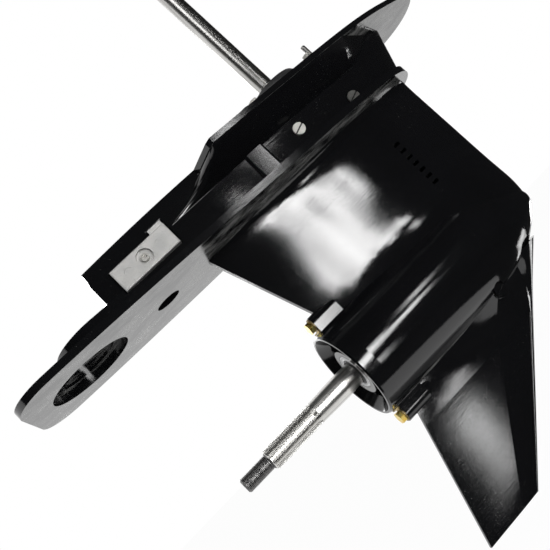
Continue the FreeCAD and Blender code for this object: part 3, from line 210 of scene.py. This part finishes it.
def studio_card(name, points, faces, material):
    """A cloth or a lit pane that only reflections show."""
    mesh = bpy.data.meshes.new(name)
    mesh.from_pydata(points, [], faces)
    mesh.materials.append(material)
    card = bpy.data.objects.new(name, mesh)
    card.visible_camera = False
    card.visible_diffuse = False
    card.visible_transmission = False
    card.visible_shadow = False
    bpy.context.scene.collection.objects.link(card)


cloth = Finish("black_cloth")
cloth_weave = cloth.noise(30.0, 3.0)
black_cloth = cloth.finished(Base_Color=cloth.blend(cloth_weave, (0.004, 0.004, 0.004),
                                                    (0.012, 0.012, 0.012)),
                             Roughness=0.95)
cloth_middle = (-0.08, -0.17)
cloth_reach = 2.4
cloth_hole = 0.50
cloth_foot = floor_level + 0.005
turns = [math.radians(turn) for turn in range(-176, 41, 8)]
cloth_points = [(cloth_middle[0] + cloth_hole * math.cos(turn), cloth_hole * math.sin(turn),
                 cloth_foot) for turn in turns]
for height in range(-22, 87, 9):
    reach = cloth_reach * math.cos(math.radians(height))
    rise = cloth_middle[1] + cloth_reach * math.sin(math.radians(height))
    cloth_points += [(cloth_middle[0] + reach * math.cos(turn), reach * math.sin(turn),
                      max(cloth_foot, rise)) for turn in turns]
columns = len(turns)
rows = len(cloth_points) // columns
cloth_faces = [(row * columns + column, row * columns + column + 1,
                (row + 1) * columns + column + 1, (row + 1) * columns + column)
               for row in range(rows - 1) for column in range(columns - 1)]
studio_card("cloth_walls", cloth_points, cloth_faces, black_cloth)


def lit_pane(name, strength, dark_below=None, bright_above=None):
    """Daylight through thin folds of blind, fading downwards where two heights are given."""
    pane = Finish(name)
    folds = pane.noise(4.0, 2.0, (2.4, 1.0, 0.7))
    level = pane.range(folds, 0.38, 0.60, 0.5, 1.1) * strength
    if dark_below is not None:
        level = pane.range(pane.axes()[2], dark_below, bright_above) * level
    shine = pane.add("ShaderNodeEmission", None, {"Strength": level})[0]
    pane.add("ShaderNodeOutputMaterial", None, {"Surface": shine})
    pane.material.cycles.emission_sampling = "FRONT_BACK"
    return pane.material


window_distance = 1.3


def starboard_pane(name, material, *corners):
    studio_card(name, [(x, -window_distance, z) for x, z in corners],
                [tuple(range(len(corners)))], material)


def aimed_pane(name, material, place, aim, width, height):
    place = Vector(place)
    forward = (Vector(aim) - place).normalized()
    side = forward.cross(Vector((0, 0, 1))).normalized() * width / 2
    rise = side.cross(forward).normalized() * height / 2
    studio_card(name, [place - side - rise, place + side - rise, place + side + rise,
                       place - side + rise], [(0, 1, 2, 3)], material)


starboard_pane("window_pane", lit_pane("window_daylight", 17.0),
               (-0.24, -0.52), (-0.24, -0.30), (-0.17, -0.10), (-0.13, -0.03), (0.30, 0.02),
               (0.44, 0.08), (0.44, -0.05), (0.28, -0.16), (0.10, -0.30), (-0.02, -0.52))
starboard_pane("window_foot", lit_pane("window_foot_light", 7.0, -1.0, -0.52),
               (-0.32, -1.05), (-0.24, -0.52), (-0.10, -0.52), (-0.16, -1.05))
starboard_pane("window_side", lit_pane("window_side_light", 9.0),
               (0.17, -0.84), (0.13, -0.54), (0.22, -0.54), (0.27, -0.84))
starboard_pane("upper_pane_low", lit_pane("upper_daylight", 14.0),
               (0.17, 0.03), (0.20, 0.14), (0.28, 0.14), (0.24, 0.03))
starboard_pane("upper_pane_high", lit_pane("high_daylight", 13.0),
               (0.38, 0.24), (0.46, 0.48), (0.54, 0.48), (0.48, 0.24))
starboard_pane("shaft_pane", lit_pane("shaft_daylight", 5.0),
               (-0.85, 0.62), (-0.85, 1.30), (-0.20, 1.30), (-0.20, 0.80))
nose = (0.17, 0.0, -0.256)
aimed_pane("bow_pane", lit_pane("bow_daylight", 14.0), (1.15, 0.765, -0.636), nose, 0.34, 0.16)
aimed_pane("bow_foot", lit_pane("bow_foot_light", 5.0), (0.938, 0.28, -0.99), nose, 0.5, 0.26)


def soft_lamp(name, place, aim, width, height, power, mirrored):
    light = bpy.data.lights.new(name, "AREA")
    light.shape = "RECTANGLE"
    light.size = width
    light.size_y = height
    light.energy = power
    lamp = bpy.data.objects.new(name, light)
    lamp.location = place
    direction = Vector(aim) - Vector(place)
    lamp.rotation_euler = direction.to_track_quat("-Z", "Y").to_euler()
    lamp.visible_glossy = mirrored
    bpy.context.scene.collection.objects.link(lamp)


soft_lamp("window_lamp", (0.15, -1.35, -0.1), (-0.05, 0.0, -0.12), 0.7, 0.6, 9.0, False)
soft_lamp("bow_lamp", (1.5, -0.2, 0.9), (0.0, 0.0, -0.1), 0.6, 1.2, 5.0, False)
soft_lamp("stern_lamp", (-1.8, 0.5, 0.9), (-0.1, 0.0, -0.1), 1.0, 1.0, 5.0, False)
soft_lamp("port_lamp", (-0.3, 1.6, 0.3), (-0.05, 0.0, -0.12), 0.6, 0.9, 6.0, True)


# The gearcase and the bearing carrier
# One aluminium casting and the carrier bolted in its end, both sprayed with gloss black
# enamel over the drain screw too. It shows orange peel, polishing streaks along the leg and
# a little dust. Level faces that look down carry a painted pale grey reflection of the floor,
# mottled with real haze and scuffs.

def dress(material, *names):
    for name in names:
        slots = nodes[name].data.materials
        slots.clear()
        slots.append(material)


enamel = Finish("gloss_black_enamel")
peel = enamel.noise(420.0, 2.0)
streaks = enamel.noise(80.0, 4.0, (0.5, 9.0, 9.0), 0.7)
clouds = enamel.noise(9.0, 3.0)
dust = enamel.range(enamel.noise(900.0, 1.0), 0.72, 0.76) * enamel.range(clouds, 0.45, 0.65)
black = enamel.blend(clouds, (0.0035, 0.0036, 0.004), (0.0065, 0.0068, 0.0078))
black = enamel.blend(dust * 0.35, black, (0.22, 0.21, 0.19))
# Painted reflection of the floor, partly real haze and scuffs: faces that look down are blended
# towards pale grey in a cloudy, streaky mottle.
facing = enamel.add("ShaderNodeNewGeometry")[1]
down = enamel.add("ShaderNodeSeparateXYZ", None, {0: facing})[2] < -0.93
cloudy_mottle = enamel.range(enamel.noise(26.0, 6.0, (1.0, 1.6, 1.0), 0.65), 0.42, 0.68)
scuff_and_reflection_streaks = enamel.range(enamel.noise(70.0, 5.0, (2.0, 14.0, 1.0), 0.7), 0.62, 0.72)
black = enamel.blend(down * (cloudy_mottle * 0.75 + scuff_and_reflection_streaks * 0.25), black, (0.36, 0.36, 0.35))
skin = enamel.bump(peel, 0.00003, 0.3)
skin = enamel.bump(streaks, 0.00012, 0.35, skin)
sheen = enamel.range(streaks, 0.3, 0.75, 0.03, 0.11) + dust * 0.3 + down * cloudy_mottle * 0.2
dress(enamel.finished(Base_Color=black, Roughness=sheen, Normal=skin, IOR=1.6),
      "gearcase_housing", "bearing_carrier", "oil_drain_screw")


# The shafts
# Stainless bar, ground between centres, so the fine marks run round each shaft, with faint
# streaks along it. The end for the propeller nut is dark with thread compound.

def ground_steel(name, along, tint):
    grooves = 2600.0
    steel = Finish(name)
    axis = steel.axes()[along]
    stretch = [3.0, 3.0, 3.0]
    stretch[along] = 20.0
    marks = steel.noise(20.0, 2.0, tuple(stretch), 0.5)
    rings = steel.add("ShaderNodeMath", {"operation": "SINE"}, {0: axis * grooves})[0]
    stains = steel.noise(16.0, 4.0)
    stretch = [14.0, 14.0, 14.0]
    stretch[along] = 0.4
    drawn = steel.noise(30.0, 3.0, tuple(stretch), 0.6)
    shade = steel.blend(steel.range(stains, 0.35, 0.7), tint, tuple(0.85 * c for c in tint))
    shade = steel.blend(steel.range(drawn, 0.4, 0.65), shade, tuple(0.62 * c for c in tint))
    face = steel.bump(rings * 0.1 + marks, 0.000002, 0.2)
    polish = steel.range(marks, 0.3, 0.8, 0.27, 0.31) + steel.range(stains, 0.4, 0.8, 0.0, 0.06)
    return steel, shade, polish, face, axis


steel, shade, polish, face, axis = ground_steel("ground_steel_upright", 2, (0.70, 0.69, 0.67))
upright_steel = steel.finished(Base_Color=shade, Metallic=1.0, Roughness=polish, Normal=face)
dress(upright_steel, "driveshaft", "shift_shaft")

steel, shade, polish, face, axis = ground_steel("ground_steel_level", 0, (0.78, 0.77, 0.74))
plain_end = -0.2875
dark_end = axis < plain_end
oily = steel.range(steel.noise(220.0, 3.0), 0.3, 0.7)
shade = steel.blend(dark_end * (oily * 0.35 + 0.6), shade, (0.05, 0.05, 0.055))
dress(steel.finished(Base_Color=shade, Metallic=1.0, Roughness=polish + dark_end * 0.15,
                     Normal=face), "prop_shaft")


# The propeller nut's thread
# Twenty turns cut on the last stretch of the shaft. A spiral ridge of three-sided section
# stands a hair proud of the plain end.

shaft_level = -0.256


def thread_tree():
    tree = bpy.data.node_groups.new("thread_turns", "GeometryNodeTree")
    made = {}
    for name in ("Root Radius", "Length", "Pitch", "Ridge", "Start"):
        made[name] = tree.interface.new_socket(name, in_out="INPUT",
                                               socket_type="NodeSocketFloat")
    made["Finish"] = tree.interface.new_socket("Finish", in_out="INPUT",
                                               socket_type="NodeSocketMaterial")
    tree.interface.new_socket("Turns", in_out="OUTPUT", socket_type="NodeSocketGeometry")
    new, link = tree.nodes.new, tree.links.new
    given = new("NodeGroupInput").outputs
    divide = new("ShaderNodeMath")
    divide.operation = "DIVIDE"
    link(given["Length"], divide.inputs[0])
    link(given["Pitch"], divide.inputs[1])
    spiral = new("GeometryNodeCurveSpiral")
    spiral.inputs["Resolution"].default_value = 40
    link(divide.outputs[0], spiral.inputs["Rotations"])
    link(given["Root Radius"], spiral.inputs["Start Radius"])
    link(given["Root Radius"], spiral.inputs["End Radius"])
    link(given["Length"], spiral.inputs["Height"])
    section = new("GeometryNodeCurvePrimitiveCircle")
    section.inputs["Resolution"].default_value = 4
    link(given["Ridge"], section.inputs["Radius"])
    sweep = new("GeometryNodeCurveToMesh")
    sweep.inputs["Fill Caps"].default_value = True
    link(spiral.outputs["Curve"], sweep.inputs["Curve"])
    link(section.outputs["Curve"], sweep.inputs["Profile Curve"])
    corner = new("ShaderNodeCombineXYZ")
    corner.inputs["Z"].default_value = shaft_level
    link(given["Start"], corner.inputs["X"])
    lay = new("GeometryNodeTransform")
    lay.inputs["Rotation"].default_value = (0.0, math.radians(-90), 0.0)
    link(sweep.outputs["Mesh"], lay.inputs["Geometry"])
    link(corner.outputs[0], lay.inputs["Translation"])
    real = new("GeometryNodeRealizeInstances")
    paint = new("GeometryNodeSetMaterial")
    link(lay.outputs[0], real.inputs[0])
    link(real.outputs[0], paint.inputs["Geometry"])
    link(given["Finish"], paint.inputs["Material"])
    link(paint.outputs[0], new("NodeGroupOutput").inputs[0])
    return tree, {name: item.identifier for name, item in made.items()}


def grown(name, tree, identifiers, values):
    """Runs a Geometry Nodes tree and returns its result as a plain mesh object."""
    seed = bpy.data.objects.new(name + "_seed", bpy.data.meshes.new(name + "_seed"))
    bpy.context.scene.collection.objects.link(seed)
    maker = seed.modifiers.new("maker", "NODES")
    maker.node_group = tree
    for key, given in values.items():
        maker[identifiers[key]] = given
    graph = bpy.context.evaluated_depsgraph_get()
    mesh = bpy.data.meshes.new_from_object(seed.evaluated_get(graph))
    bpy.data.objects.remove(seed)
    piece = bpy.data.objects.new(name, mesh)
    bpy.context.scene.collection.objects.link(piece)
    return piece


dark_thread = Finish("dark_thread_steel")
grease = dark_thread.noise(300.0, 3.0)
dress_thread = dark_thread.finished(
    Base_Color=dark_thread.blend(grease, (0.10, 0.10, 0.105), (0.22, 0.21, 0.20)),
    Metallic=1.0, Roughness=dark_thread.range(grease, 0.3, 0.7, 0.28, 0.5),
    Normal=dark_thread.bump(grease, 0.00005, 0.4))
thread_maker, thread_inputs = thread_tree()
propeller_thread = grown("propeller_thread", thread_maker, thread_inputs,
                         {"Root Radius": 0.0080, "Length": 0.030, "Pitch": 0.0015,
                          "Ridge": 0.00045, "Start": -0.2900, "Finish": dress_thread})
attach(propeller_thread, "prop_shaft")


# The face of the outer shaft seal
# A pressed steel case with a turned-in rim, and inside it the black rubber lip that runs
# on the shaft.

def turned(name, profile, body, slot, *materials):
    """A ring about the propeller shaft axis from (x, radius, material number) points."""
    form = bmesh.new()
    steps = 96
    loops = []
    for x, radius, number in profile:
        loops.append([form.verts.new((x, radius * math.cos(2 * math.pi * i / steps),
                                      shaft_level
                                      + radius * math.sin(2 * math.pi * i / steps)))
                      for i in range(steps)])
    for row in range(len(profile)):
        other = (row + 1) % len(profile)
        for i in range(steps):
            j = (i + 1) % steps
            side = form.faces.new((loops[row][i], loops[row][j], loops[other][j],
                                   loops[other][i]))
            side.smooth = True
            side.material_index = profile[row][2]
    bmesh.ops.recalc_face_normals(form, faces=form.faces)
    mesh = bpy.data.meshes.new(name)
    form.to_mesh(mesh)
    form.free()
    for material in materials:
        mesh.materials.append(material)
    piece = bpy.data.objects.new(name, mesh)
    bpy.context.scene.collection.objects.link(piece)
    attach(piece, body)
    return piece


pressed = Finish("pressed_seal_steel")
pressed_marks = pressed.noise(500.0, 3.0)
pressed_steel = pressed.finished(
    Base_Color=pressed.blend(pressed_marks, (0.34, 0.34, 0.35), (0.5, 0.5, 0.5)),
    Metallic=1.0, Roughness=pressed.range(pressed_marks, 0.3, 0.7, 0.3, 0.48),
    Normal=pressed.bump(pressed_marks, 0.00003, 0.4))
rubber = Finish("black_seal_rubber")
rubber_grain = rubber.noise(1400.0, 2.0)
seal_rubber = rubber.finished(
    Base_Color=rubber.blend(rubber_grain, (0.012, 0.012, 0.013), (0.03, 0.03, 0.031)),
    Roughness=rubber.range(rubber_grain, 0.3, 0.7, 0.42, 0.62),
    Normal=rubber.bump(rubber_grain, 0.00004, 0.5))
turned("seal_case", [(-0.1631, 0.0208, 0), (-0.1640, 0.0205, 0), (-0.1640, 0.0190, 0),
                     (-0.1634, 0.0187, 0), (-0.1634, 0.0172, 0), (-0.1638, 0.0170, 0),
                     (-0.1638, 0.0160, 1), (-0.1648, 0.0146, 1), (-0.1652, 0.0138, 1),
                     (-0.1648, 0.0132, 1), (-0.1631, 0.0140, 1)],
       "gearcase", "seal_rubber", pressed_steel, seal_rubber)


# Seals, rings, washers and gaskets of the inside
# Moulded rubber, pressed fibre and turned bronze, each seen only where a joint shows its
# edge.

dress(seal_rubber, "carrier_o_ring", "prop_shaft_seals", "driveshaft_seals",
      "shift_shaft_seal", "water_tube_seal", "impeller")

fibre = Finish("pressed_fibre")
threads = fibre.noise(700.0, 4.0, (1.0, 1.0, 3.0))
dress(fibre.finished(Base_Color=fibre.blend(threads, (0.16, 0.11, 0.07), (0.30, 0.23, 0.15)),
                     Roughness=fibre.range(threads, 0.3, 0.7, 0.65, 0.85),
                     Normal=fibre.bump(threads, 0.0001, 0.5)),
      "pump_gasket", "screw_washers")

bronze = Finish("turned_bronze")
bronze_marks = bronze.noise(60.0, 4.0, (1.0, 1.0, 30.0))
dress(bronze.finished(
    Base_Color=bronze.blend(bronze_marks, (0.46, 0.31, 0.14), (0.60, 0.43, 0.21)),
    Metallic=1.0, Roughness=bronze.range(bronze_marks, 0.3, 0.7, 0.25, 0.45),
    Normal=bronze.bump(bronze_marks, 0.00004, 0.4)), "shift_bush")


# The carrier bolts and their lock tabs
# Hexagon bolts plated with yellow zinc, whose colour drifts to green and pink, over tabs of
# the same finish that have gone dull.

yellow = Finish("yellow_zinc")
drift = yellow.noise(180.0, 3.0)
plating = yellow.ramp(drift, (0.30, (0.74, 0.46, 0.08)), (0.48, (0.86, 0.62, 0.16)),
                      (0.60, (0.70, 0.66, 0.24)), (0.72, (0.80, 0.47, 0.22)))
dress(yellow.finished(Base_Color=plating, Metallic=1.0,
                      Roughness=yellow.range(drift, 0.3, 0.7, 0.22, 0.4),
                      Normal=yellow.bump(yellow.noise(900.0, 2.0), 0.00004, 0.4)),
      "carrier_bolts")
dull = Finish("dull_zinc")
dull_drift = dull.noise(260.0, 4.0)
dress(dull.finished(
    Base_Color=dull.blend(dull_drift, (0.20, 0.15, 0.07), (0.42, 0.34, 0.18)), Metallic=0.9,
    Roughness=dull.range(dull_drift, 0.3, 0.7, 0.4, 0.65),
    Normal=dull.bump(dull_drift, 0.00006, 0.5)), "carrier_lock_tabs")


# The slotted screws and the pump's bolts
# Stainless, turned bright, with fine rings on the heads. Painted shade darkens the slots and
# the head sides of the two screws in the side of the casting, and the flush screw is darker
# over most of its face.

def screw_steel(name, slot_floor=None, darkening=None):
    bright = Finish(name)
    turning = bright.noise(1500.0, 3.0)
    steel_shade = bright.blend(turning, (0.42, 0.41, 0.38), (0.60, 0.59, 0.56))
    # Where a darkening weight is given, the screw is darkened over most of its face.
    if darkening is not None:
        darkened = bright.range(turning, 0.2, 0.4) * darkening
        steel_shade = bright.blend(darkened, steel_shade, (0.03, 0.03, 0.03))
    # Painted shade: everything deeper than the head's face, which is the slot and the sides of
    # the head, is darkened almost to black.
    if slot_floor is not None:
        painted_slot_shade = bright.axes()[1] > slot_floor
        steel_shade = bright.blend(painted_slot_shade * 0.92, steel_shade, (0.02, 0.02, 0.02))
    return bright.finished(Base_Color=steel_shade, Metallic=1.0,
                           Roughness=bright.range(turning, 0.3, 0.7, 0.3, 0.46),
                           Normal=bright.bump(turning, 0.00003, 0.5))


head_above_slot = 0.0006
for screw, darkening in (("oil_level_screw", None), ("flush_screw", 0.8)):
    dress(screw_steel("steel_of_" + screw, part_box(screw)[0][1] + head_above_slot, darkening), screw)
dress(screw_steel("bright_bolt_steel"), "pump_bolts", "anode_bolts", "dowel_pins")


# The anodes
# Sand-cast zinc, left bare so that it can waste away. The face is pale and finely pitted,
# with cloudy dull patches.

zinc = Finish("cast_zinc")
grain = zinc.noise(650.0, 5.0, (1.0, 1.0, 1.0), 0.7)
cloudy_mottle = zinc.noise(45.0, 4.0)
pits = zinc.range(zinc.noise(1100.0, 2.0), 0.62, 0.72)
pale = zinc.blend(zinc.range(cloudy_mottle, 0.35, 0.65), (0.46, 0.46, 0.45), (0.62, 0.61, 0.59))
pale = zinc.blend(pits * 0.5, pale, (0.25, 0.25, 0.25))
dress(zinc.finished(Base_Color=pale, Metallic=0.25,
                    Roughness=zinc.range(grain, 0.3, 0.7, 0.42, 0.6),
                    Normal=zinc.bump(grain - pits * 0.5, 0.00012, 0.5)),
      "starboard_anode", "port_anode")


# The water pump
# Glass-filled nylon mouldings, grey-black and matt, with a steel cup and wear plate.

nylon = Finish("filled_nylon")
fibres = nylon.noise(800.0, 4.0, (1.0, 3.0, 1.0))
dress(nylon.finished(
    Base_Color=nylon.blend(fibres, (0.016, 0.016, 0.018), (0.035, 0.035, 0.037)),
    Roughness=nylon.range(fibres, 0.3, 0.7, 0.38, 0.55),
    Normal=nylon.bump(fibres, 0.00005, 0.5)), "pump_base", "pump_housing")

sheet = Finish("rolled_stainless")
rolled = sheet.noise(90.0, 4.0, (1.0, 14.0, 1.0))
dress(sheet.finished(Base_Color=sheet.blend(rolled, (0.56, 0.56, 0.55), (0.68, 0.67, 0.66)),
                     Metallic=1.0, Roughness=sheet.range(rolled, 0.3, 0.7, 0.24, 0.4),
                     Normal=sheet.bump(rolled, 0.00003, 0.4)), "pump_wear_plate", "pump_cup")


# Gears, clutch and shift linkage
# Case-hardened steel, dark from heat treatment and wet with gear oil.

hard = Finish("hardened_steel")
heat = hard.noise(40.0, 4.0)
dress(hard.finished(Base_Color=hard.blend(heat, (0.20, 0.19, 0.18), (0.36, 0.34, 0.31)),
                    Metallic=1.0, Roughness=hard.range(heat, 0.3, 0.7, 0.2, 0.36),
                    Normal=hard.bump(hard.noise(900.0, 3.0), 0.00003, 0.4)),
      "pinion_gear", "pinion_nut", "forward_gear", "reverse_gear", "clutch_dog", "cross_pin",
      "shift_plunger", "cam_follower", "shift_crank", "upper_bearing_nut", "impeller_key")


# Rolling bearings
# Ground and lapped bearing steel, bright under its film of oil.

lapped = Finish("lapped_bearing_steel")
film = lapped.noise(70.0, 3.0)
dress(lapped.finished(
    Base_Color=lapped.blend(film, (0.62, 0.61, 0.59), (0.74, 0.74, 0.73)), Metallic=1.0,
    Roughness=lapped.range(film, 0.3, 0.7, 0.1, 0.22),
    Normal=lapped.bump(lapped.noise(1200.0, 2.0), 0.00001, 0.4)),
      "carrier_needle_shell", "carrier_needles", "pinion_needle_shell", "pinion_needles",
      "forward_bearing_cup", "forward_bearing_cone", "forward_bearing_rollers",
      "reverse_bearing_cup", "reverse_bearing_cone", "reverse_bearing_rollers",
      "upper_bearing_cup", "upper_bearing_cone", "upper_bearing_rollers", "cross_pin_spring")


# The end
# The view is plain.

bpy.context.scene.view_settings.view_transform = "Standard"
